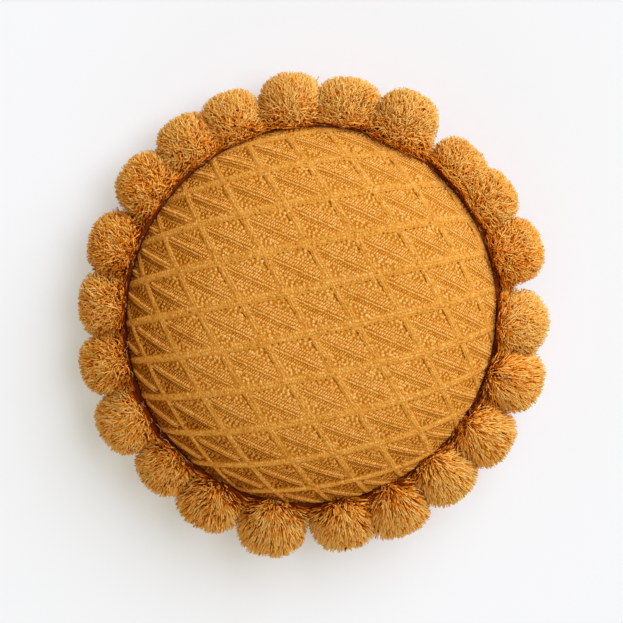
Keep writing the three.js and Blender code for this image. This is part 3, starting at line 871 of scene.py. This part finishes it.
def shade_bead_stitches(shift):
    """Deep stitches that show as dark beads of painted shade: a close row on the left of the steep ribs,
    darkest below each flat rib, dots under the flat ribs, and a dotted row under each twin rib, left out
    where ribs cross."""
    random = np.random.default_rng(DEEP_SEED)
    flats, turns, sizes, tones = [], [], [], []
    for sign, rib in ((-1, STEEP_RIB), (1, FLAT_RIB)):
        flat, way = lattice_rows(sign, rib["groove"], rib["bead_pitch"])
        from_u, from_v, _, _, row, _ = lattice(flat[:, 0], flat[:, 1])
        clear = np.abs(from_v if sign < 0 else from_u) > DEEP_CLEAR
        fade = smooth(row - np.floor(row), *FADE_ALONG)[clear] if sign < 0 else np.zeros(clear.sum())
        flats.append(flat[clear])
        turns.append(np.full(len(fade), way))
        sizes.append(np.array(rib["bead_size"]) * (1 - BEAD_FADE * fade)[:, None])
        # Painted shade: the beads along the steep ribs are lighter away from each flat rib.
        tones.append(SHADE_BEAD_TONE + BEAD_SHADE_EASING * fade)
    spread = math.ceil(CLOTH_RADIUS / (DIAMOND_SIDE * math.sin(DIAMOND_HALF_ANGLE))) + 1
    lanes, rows = np.arange(-spread, spread + 1), np.arange(-ROW_REACH, ROW_REACH + 1)
    lane, step = (g.ravel() for g in np.meshgrid(lanes, rows))
    flat = column_places(lane * DIAMOND_SIDE * math.sin(DIAMOND_HALF_ANGLE) + TWIN_GROOVE, step * ROW_PITCH)
    _, _, share, side, _, _ = lattice(flat[:, 0], flat[:, 1])
    inside = (np.minimum(share, 1 - share) > TWIN_START) & (np.abs(side - TWIN_GROOVE) < TWIN_BEAD_ROOM)
    flat = flat[inside & (from_seam(*flat.T) > STITCH_HEM)]
    flats.append(flat)
    turns.append(np.full(len(flat), COLUMN_ANGLE))
    sizes.append(np.tile(TWIN_BEAD_SIZE, (len(flat), 1)))
    tones.append(np.full(len(flat), SHADE_BEAD_TONE))
    flat, turn, size, tone = (np.concatenate(v) for v in (flats, turns, sizes, tones))
    flat = flat + random.normal(0, DEEP_STRAY, flat.shape)
    turn = turn + random.normal(0, DEEP_TURNS, len(flat))
    size = size * random.uniform(*DEEP_SIZES, size.shape)
    tone = tone + random.normal(0, DEEP_TONES, len(flat))
    return stitch_piece("shade_bead_stitches", flat, turn, size, tone, DEEP_LIFT, KNIT, shift)


# Pompoms

def pompom_centre(row):
    """Middle of a pompom's ball."""
    turn = math.radians(row["angle"])
    out, up = row["distance"], SEAM_HEIGHT + row["lift"]
    return np.array([out * math.cos(turn), out * math.sin(turn), up])


def pompom_axes(row):
    """Middle of a pompom's ball, its tie's point on the seam, and its outward and sideways directions."""
    centre = pompom_centre(row)
    turn = math.radians(row["angle"])
    radius = SEAM_RADIUS * oval(turn)
    tie = np.array([radius * math.cos(turn), radius * math.sin(turn), SEAM_HEIGHT])
    outwards = centre * [1, 1, 0] / np.linalg.norm(centre[:2])
    return centre, tie, outwards, np.cross([0, 0, 1], outwards)


def fanned(share, ball, fan):
    """A value between that of a plain ball and that of a full fan, by the pompom's share of fan."""
    return ball + (fan - ball) * share


def ball_directions(count, random):
    """Directions spread evenly over a ball on a golden spiral, each moved a little."""
    number = np.arange(count) + 0.5
    up = 1 - 2 * number / count
    turn = math.pi * (1 + 5**0.5) * number
    ways = np.stack([np.cos(turn) * np.sqrt(1 - up**2), np.sin(turn) * np.sqrt(1 - up**2), up], -1)
    ways += random.normal(0, DIRECTION_STRAY / math.sqrt(count), ways.shape)
    return ways / np.linalg.norm(ways, axis=1, keepdims=True)


def strand_tubes(paths, radii, random):
    """Three-sided closed strands along paths of points: pointed at the first point, then a triangle of
    the point's radius across the path at each other, turned at random, and a flat end."""
    count, steps = paths.shape[:2]
    way = paths[:, -1] - paths[:, 0]
    way /= np.linalg.norm(way, axis=1, keepdims=True)
    side = np.cross(way, random.normal(size=way.shape))
    side /= np.linalg.norm(side, axis=1, keepdims=True)
    other = np.cross(way, side)
    turn = np.arange(3) / 3 * 2 * math.pi
    ring = side[:, None, :] * np.cos(turn)[None, :, None] + other[:, None, :] * np.sin(turn)[None, :, None]
    rings = paths[:, 1:, None, :] + ring[:, None, :, :] * radii[:, 1:, None, None]
    places = np.concatenate([paths[:, :1], rings.reshape(count, -1, 3)], 1)
    quads = ring_faces(steps - 1, 3, 1)[:, ::-1]
    last = 3 * steps - 5
    ends = np.concatenate([fan_faces(0, np.array([1, 2, 3]))[:, ::-1], [[last, last + 1, last + 2]]])
    first = np.arange(count)[:, None, None] * (3 * steps - 2)
    faces = [(quads[None] + first).reshape(-1, 4), (ends[None] + first).reshape(-1, 3)]
    return places.reshape(-1, 3), faces


def plane_reach(towards, depth, least):
    """Reach of directions to a plane: its depth over the share of each direction that leads towards it,
    and far off for directions that lead along it or away."""
    return np.where(towards > least, depth / np.maximum(towards, least), FAR)


def pressed_reach(ways, number):
    """How far strands reach from the middle of a pompom: to a squarish, lumpy ball, and no further than a
    little past half way to each neighbour, than the floor, and than the body, a wedge with its edge on the
    seam."""
    row = POMPOMS[number]
    centre, tie, outwards, sideways = pompom_axes(row)
    out, side, up = ways @ outwards, ways @ sideways, ways[:, 2]
    flat = np.where(up > 0, 1 - FAN_FLATNESS * row["fan"], 1.0)
    inner = smooth(-out, 0, INNER_FULL)
    stretch = np.where(out < 0, INNER_STRETCH, 1.0)
    power = SQUARENESS + INNER_SQUARENESS * inner
    wide = WIDTH + INNER_WIDTH * inner
    level = (np.abs(out / stretch) ** power + np.abs(side / wide) ** power) ** (1 / power)
    reach = row["radius"] / (level**SQUARENESS + np.abs(up / flat) ** SQUARENESS) ** (1 / SQUARENESS)
    for beside in (1, -1):
        apart = pompom_centre(POMPOMS[(number + beside) % len(POMPOMS)]) - centre
        distance = np.linalg.norm(apart)
        half_way = distance / 2 + NEIGHBOUR_MIX
        reach = np.minimum(reach, plane_reach(ways @ apart / distance, half_way, NEIGHBOUR_LEAST))
    limits = []
    for lean in (-CROWN_LEAN, BACK_LEAN):
        normal = -outwards * math.cos(lean) + np.array([0, 0, math.sin(lean)])
        limits.append(plane_reach(ways @ normal, (tie - centre) @ normal, BODY_LEAST))
    reach = np.minimum(reach, np.maximum(*limits))
    reach = np.minimum(reach, plane_reach(-up, centre[2] - FLOOR_GAP, BODY_LEAST))
    random = np.random.default_rng(SEED + number)
    lumps = ball_directions(LUMPS, random)
    lump = np.exp(LUMP_SHARPNESS * (ways @ lumps.T - 1)) @ random.normal(0, 1, LUMPS)
    return reach * (1 + LUMP_SIZE * lump)


def pompom_core(number, random):
    """Packed middle of a pompom: rings of points round the upright axis at a share of the strands' reach,
    with a rough surface."""
    turn = np.arange(CORE_SECTORS) / CORE_SECTORS * 2 * math.pi
    down = np.arange(1, CORE_RINGS) / CORE_RINGS * math.pi
    out, up = np.sin(down)[:, None], np.cos(down)[:, None]
    ways = np.stack(np.broadcast_arrays(out * np.cos(turn), out * np.sin(turn), up), -1)
    ways = np.concatenate([[[0, 0, 1]], ways.reshape(-1, 3), [[0, 0, -1]]])
    reach = pressed_reach(ways, number)
    share = CORE_SHARE + random.normal(0, CORE_ROUGHNESS, len(ways))
    places = pompom_centre(POMPOMS[number]) + ways * (share * reach)[:, None]
    last = len(ways) - 1
    ring = np.arange(CORE_SECTORS)
    faces = [
        ring_faces(CORE_RINGS - 1, CORE_SECTORS, 1),
        np.concatenate([fan_faces(0, 1 + ring), fan_faces(last, last - CORE_SECTORS + ring)[:, ::-1]]),
    ]
    return places, faces


def tufted(ways, pull, random):
    """Strands gathered in tufts: each direction is drawn by a share to the nearest tuft's middle. Returns
    the drawn directions and the number of each strand's tuft."""
    middles = ball_directions(TUFTS, random)
    tuft = np.argmax(ways @ middles.T, axis=1)
    drawn = ways * (1 - pull) + middles[tuft] * pull
    return drawn / np.linalg.norm(drawn, axis=1, keepdims=True), tuft


def strand_paths(number, random):
    """Paths of a pompom's strands from root over middle to tip, each point's depth in the ball, and the
    number of each strand's tuft. Straight, slightly wavy strands radiate from a point between the ball's
    middle and its tie, the nearer to the tie the more the pompom fans out, and end all over the pressed
    ball, in tufts. Points nearer to the seam than the pompom's gap are moved out to it."""
    row = POMPOMS[number]
    fan = row["fan"]
    centre, tie, outwards, sideways = pompom_axes(row)
    ways = ball_directions(STRANDS, random)
    turned_up = (ways[:, 2:] < UNDERSIDE) & (random.random((STRANDS, 1)) < UPPER_SHARE)
    ways = np.where(turned_up, ways * [1, 1, -1], ways)
    ways, tuft = tufted(ways, fanned(fan, TUFT_PULL, FAN_PULL), random)
    reach = pressed_reach(ways, number)[:, None]
    tips = centre + ways * reach * random.uniform(*TIP_REACH, (STRANDS, 1))
    bound = centre + (tie - centre) * fanned(fan, TIE_NEAR, 1)
    stray = random.normal(0, fanned(fan, TIE_STRAY, FAN_STRAY), (STRANDS, 3))
    stray += random.normal(0, TUFT_STRAY, (TUFTS, 3))[tuft]
    along = tips - bound - stray
    room = np.linalg.norm(along, axis=1, keepdims=True)
    along /= room
    length = (STRAND_LENGTH + FAN_LENGTH * fan) * random.uniform(*STRAND_LENGTHS, (STRANDS, 1))
    length = np.minimum(length, ROOM_SHARE * room)
    wave = fanned(fan, WAVE, FAN_WAVE) * length * random.normal(0, 1, (STRANDS, 3))
    paths = np.stack([tips - length * along, tips - 0.5 * length * along + wave, tips], 1)
    edge = row["gap"] + random.uniform(0, EDGE_STRAY, (STRANDS, 1))
    root = 1 - smooth(np.abs((paths - tie) @ sideways), *POCKET_BESIDE)
    edge = edge - ROOT_CLOSE * fan * root
    paths += outwards * np.maximum(0, edge - (paths - tie) @ outwards)[..., None]
    depth = reach - ((paths - centre) * ways[:, None]).sum(-1)
    return paths, depth, tuft


def lit_share(angle):
    """Share of light that a place of the seam gets: none at the shaded side, full across from it."""
    return 0.5 - 0.5 * np.cos(angle - SHADED_SIDE_ANGLE)


def seam_shade(out, beside, fan):
    """Painted shade on the yarn by its distance out from the seam and sideways from the tie: deep in the
    cleft, but less at the root of a fan, and in the pockets between pompoms, then fading, most in a fan."""
    fading = fanned(fan, SEAM_TONE, FAN_SEAM_TONE)
    pocket = smooth(np.abs(beside), *POCKET_BESIDE)
    cleft = CLEFT_TONE * (1 - smooth(out, 0, CLEFT_DEPTH)) * (1 - ROOT_SHARE * fan * (1 - pocket))
    between = POCKET_TONE * pocket * (1 - smooth(out, *POCKET_OUT))
    return cleft + between + fading * (1 - smooth(out, 0, SEAM_FADE))


def make_pompom(number):
    """A ball of cut yarn: strands on a packed core, in one mesh. They are palest at their tips, as painted
    light, and darker deep in the ball and beside the seam, as painted shade. On the cushion's shaded side
    the strands differ more in tone, and on its lit side the painted shade is eased."""
    random = np.random.default_rng(SEED + number)
    row = POMPOMS[number]
    fan = row["fan"]
    _, tie, outwards, sideways = pompom_axes(row)
    paths, depth, tuft = strand_paths(number, random)
    radii = STRAND_RADIUS * random.uniform(*STRAND_RADII, (STRANDS, 1)) * np.array(STRAND_WIDTHS)[None]
    places, faces = strand_tubes(paths, radii, random)
    lit = lit_share(math.radians(row["angle"]))
    ease = 1 - LIT_EASE * lit
    spread = fanned(fan, STRAND_SPREAD, FAN_SPREAD) + SHADE_SPREAD * (1 - lit)
    shade = MEAN_TONE + row["tone"] + random.normal(0, spread, (STRANDS, 1)) + np.array([0, 0, TIP_TONE])
    shade -= ease * fanned(fan, DEPTH_TONE, FAN_DEPTH_TONE) * smooth(depth, 0, DEPTH_FULL)
    shade += random.normal(0, TUFT_TONES, TUFTS)[tuft][:, None]
    shade -= ease * seam_shade((paths - tie) @ outwards, (paths - tie) @ sideways, fan)
    core, core_faces = pompom_core(number, random)
    core_shade = CORE_TONE - ease * seam_shade((core - tie) @ outwards, (core - tie) @ sideways, fan)
    # A strand's mesh has one point at its root, and three at its middle and at its tip.
    tone = np.concatenate([np.repeat(shade, [1, 3, 3], axis=1).ravel(), core_shade])
    faces += [f + len(places) for f in core_faces]
    places = np.concatenate([places, core])
    pompom = mesh_object(f"pompom_yarn_{number + 1:02d}", places, faces, CUT, tone=tone)
    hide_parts(f"pompom_{number + 1:02d}")
    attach(pompom, "root")
    return pompom


def seam_braid():
    """Dark braid along the seam: a round cord, a ring of six-sided sections that swell in small beads, and
    paler on the cushion's lit side as painted light. Its darkness is partly the seam yarn's own colour and
    partly painted shade of the cleft."""
    angle, turn = np.meshgrid(
        np.arange(BRAID_SECTORS) / BRAID_SECTORS * 2 * math.pi,
        np.arange(BRAID_SIDES) / BRAID_SIDES * 2 * math.pi, indexing="ij")
    radius = BRAID_RADIUS * (1 + BRAID_BEADS * np.cos(angle * BRAID_SECTORS / 2))
    out = SEAM_RADIUS * oval(angle) + BRAID_OUT + radius * np.cos(turn)
    up = SEAM_HEIGHT - BRAID_DROP + radius * np.sin(turn)
    places = np.stack([out * np.cos(angle), out * np.sin(angle), up], -1).reshape(-1, 3)
    rings = ring_faces(BRAID_SECTORS + 1, BRAID_SIDES, 0) % len(places)
    tone = BRAID_TONE + BRAID_LIT_TONE * lit_share(angle).ravel()
    piece = mesh_object("seam_braid", places, [rings], SEAM, tone=tone)
    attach(piece, "root")
    return piece


def tie_ends():
    """Loose thread ends of the ties: thin strands that lie along the seam beside each pompom's tie. Each is
    an arc of a circle round its own middle, from nearly straight to a curl, and a little tilted."""
    random = np.random.default_rng(TIE_SEED)
    turns = np.radians(np.repeat([row["angle"] for row in POMPOMS], TIE_ENDS))[:, None]
    each = (len(turns), 1)
    turns = turns + random.normal(0, TIE_BESIDE, each)
    curl = random.uniform(*TIE_CURL, each)
    radius = random.uniform(*TIE_LENGTH, each) / curl
    share = np.linspace(-0.5, 0.5, TIE_POINTS)[None, :]
    arc = curl * share + random.choice([-1, 1], each) * math.pi / 2
    beside = radius * (np.cos(arc) - np.cos(arc).mean(1, keepdims=True))
    bow = radius * (np.sin(arc) - np.sin(arc).mean(1, keepdims=True))
    around = turns + beside / SEAM_RADIUS
    out = SEAM_RADIUS * oval(around) + np.maximum(TIE_LEAST_OUT, random.uniform(*TIE_OUT, each) + bow)
    up = SEAM_HEIGHT + random.uniform(*TIE_UP, each) + share * random.normal(0, TIE_TILT, each)
    paths = np.stack([out * np.cos(around), out * np.sin(around), up], -1)
    places, faces = strand_tubes(paths, np.full(paths.shape[:2], TIE_RADIUS), random)
    tone = np.repeat(random.normal(TIE_TONE, TIE_TONES, len(turns)), 3 * TIE_POINTS - 2)
    piece = mesh_object("tie_ends", places, faces, SEAM, tone=tone)
    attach(piece, "root")
    return piece


# Stage

def make_stage():
    """A plain pale floor, the three soft lamps, each a sun at its angle round the cushion and its height
    over the floor in degrees, and an even warm surround."""
    corners = np.array([[-1, -1], [1, -1], [1, 1], [-1, 1]]) * FLOOR_REACH
    places = np.column_stack([corners, np.zeros(4)])
    table = table_material("pale_table", FLOOR_COLOUR, FLOOR_GLOW, GLOW_COLOUR)
    floor = mesh_object("floor", places, [np.array([[0, 1, 2, 3]])], table)
    world = bpy.data.worlds.new("surround")
    world.use_nodes = True
    world.node_tree.nodes["Background"].inputs["Color"].default_value = linear(SURROUND_COLOUR)
    world.node_tree.nodes["Background"].inputs["Strength"].default_value = SURROUND
    bpy.context.scene.world = world
    for name, lamp in LAMPS.items():
        light = bpy.data.lights.new(name, "SUN")
        light.energy = lamp["energy"]
        light.color = linear(LAMP_COLOUR)[:3]
        light.angle = math.radians(lamp["spread"])
        height, angle = math.radians(lamp["height"]), math.radians(lamp["angle"])
        flat = math.cos(height)
        towards = Vector((flat * math.cos(angle), flat * math.sin(angle), math.sin(height)))
        holder = bpy.data.objects.new(name, light)
        holder.location = towards * LAMP_DISTANCE * MM
        holder.rotation_euler = towards.to_track_quat("Z", "Y").to_euler()
        bpy.context.scene.collection.objects.link(holder)
    bpy.context.scene.view_settings.view_transform = "Standard"


def make_camera():
    """A camera above the seam's plane, tilted towards the picture's top, with one pixel to a
    millimetre at the seam and the seam's centre on its pixel."""
    cos, sin = math.cos(CAMERA_TILT), math.sin(CAMERA_TILT)
    right, up, back = (np.array(v) for v in ((1, 0, 0), (0, cos, -sin), (0, sin, cos)))
    aim = right * (PICTURE / 2 - SEAM_CENTRE_PIXEL[0]) + up * (SEAM_CENTRE_PIXEL[1] - PICTURE / 2)
    place = np.array([0, 0, SEAM_HEIGHT]) + aim + back * CAMERA_DISTANCE
    data = bpy.data.cameras.new("camera")
    data.sensor_width = SENSOR
    data.lens = SENSOR * CAMERA_DISTANCE / PICTURE
    camera = bpy.data.objects.new("camera", data)
    turn = Matrix(np.stack([right, up, back], -1).tolist()).to_4x4()
    camera.matrix_world = Matrix.Translation(Vector(place * MM)) @ turn
    bpy.context.scene.collection.objects.link(camera)
    bpy.context.scene.camera = camera


make_camera()
make_stage()
front_shift, back_shift = filled_shift()
make_cushion(front_shift, back_shift)
field_stitches(front_shift)
rib_stitches(front_shift)
shade_bead_stitches(front_shift)
for pompom_number in range(len(POMPOMS)):
    make_pompom(pompom_number)
seam_braid()
tie_ends()
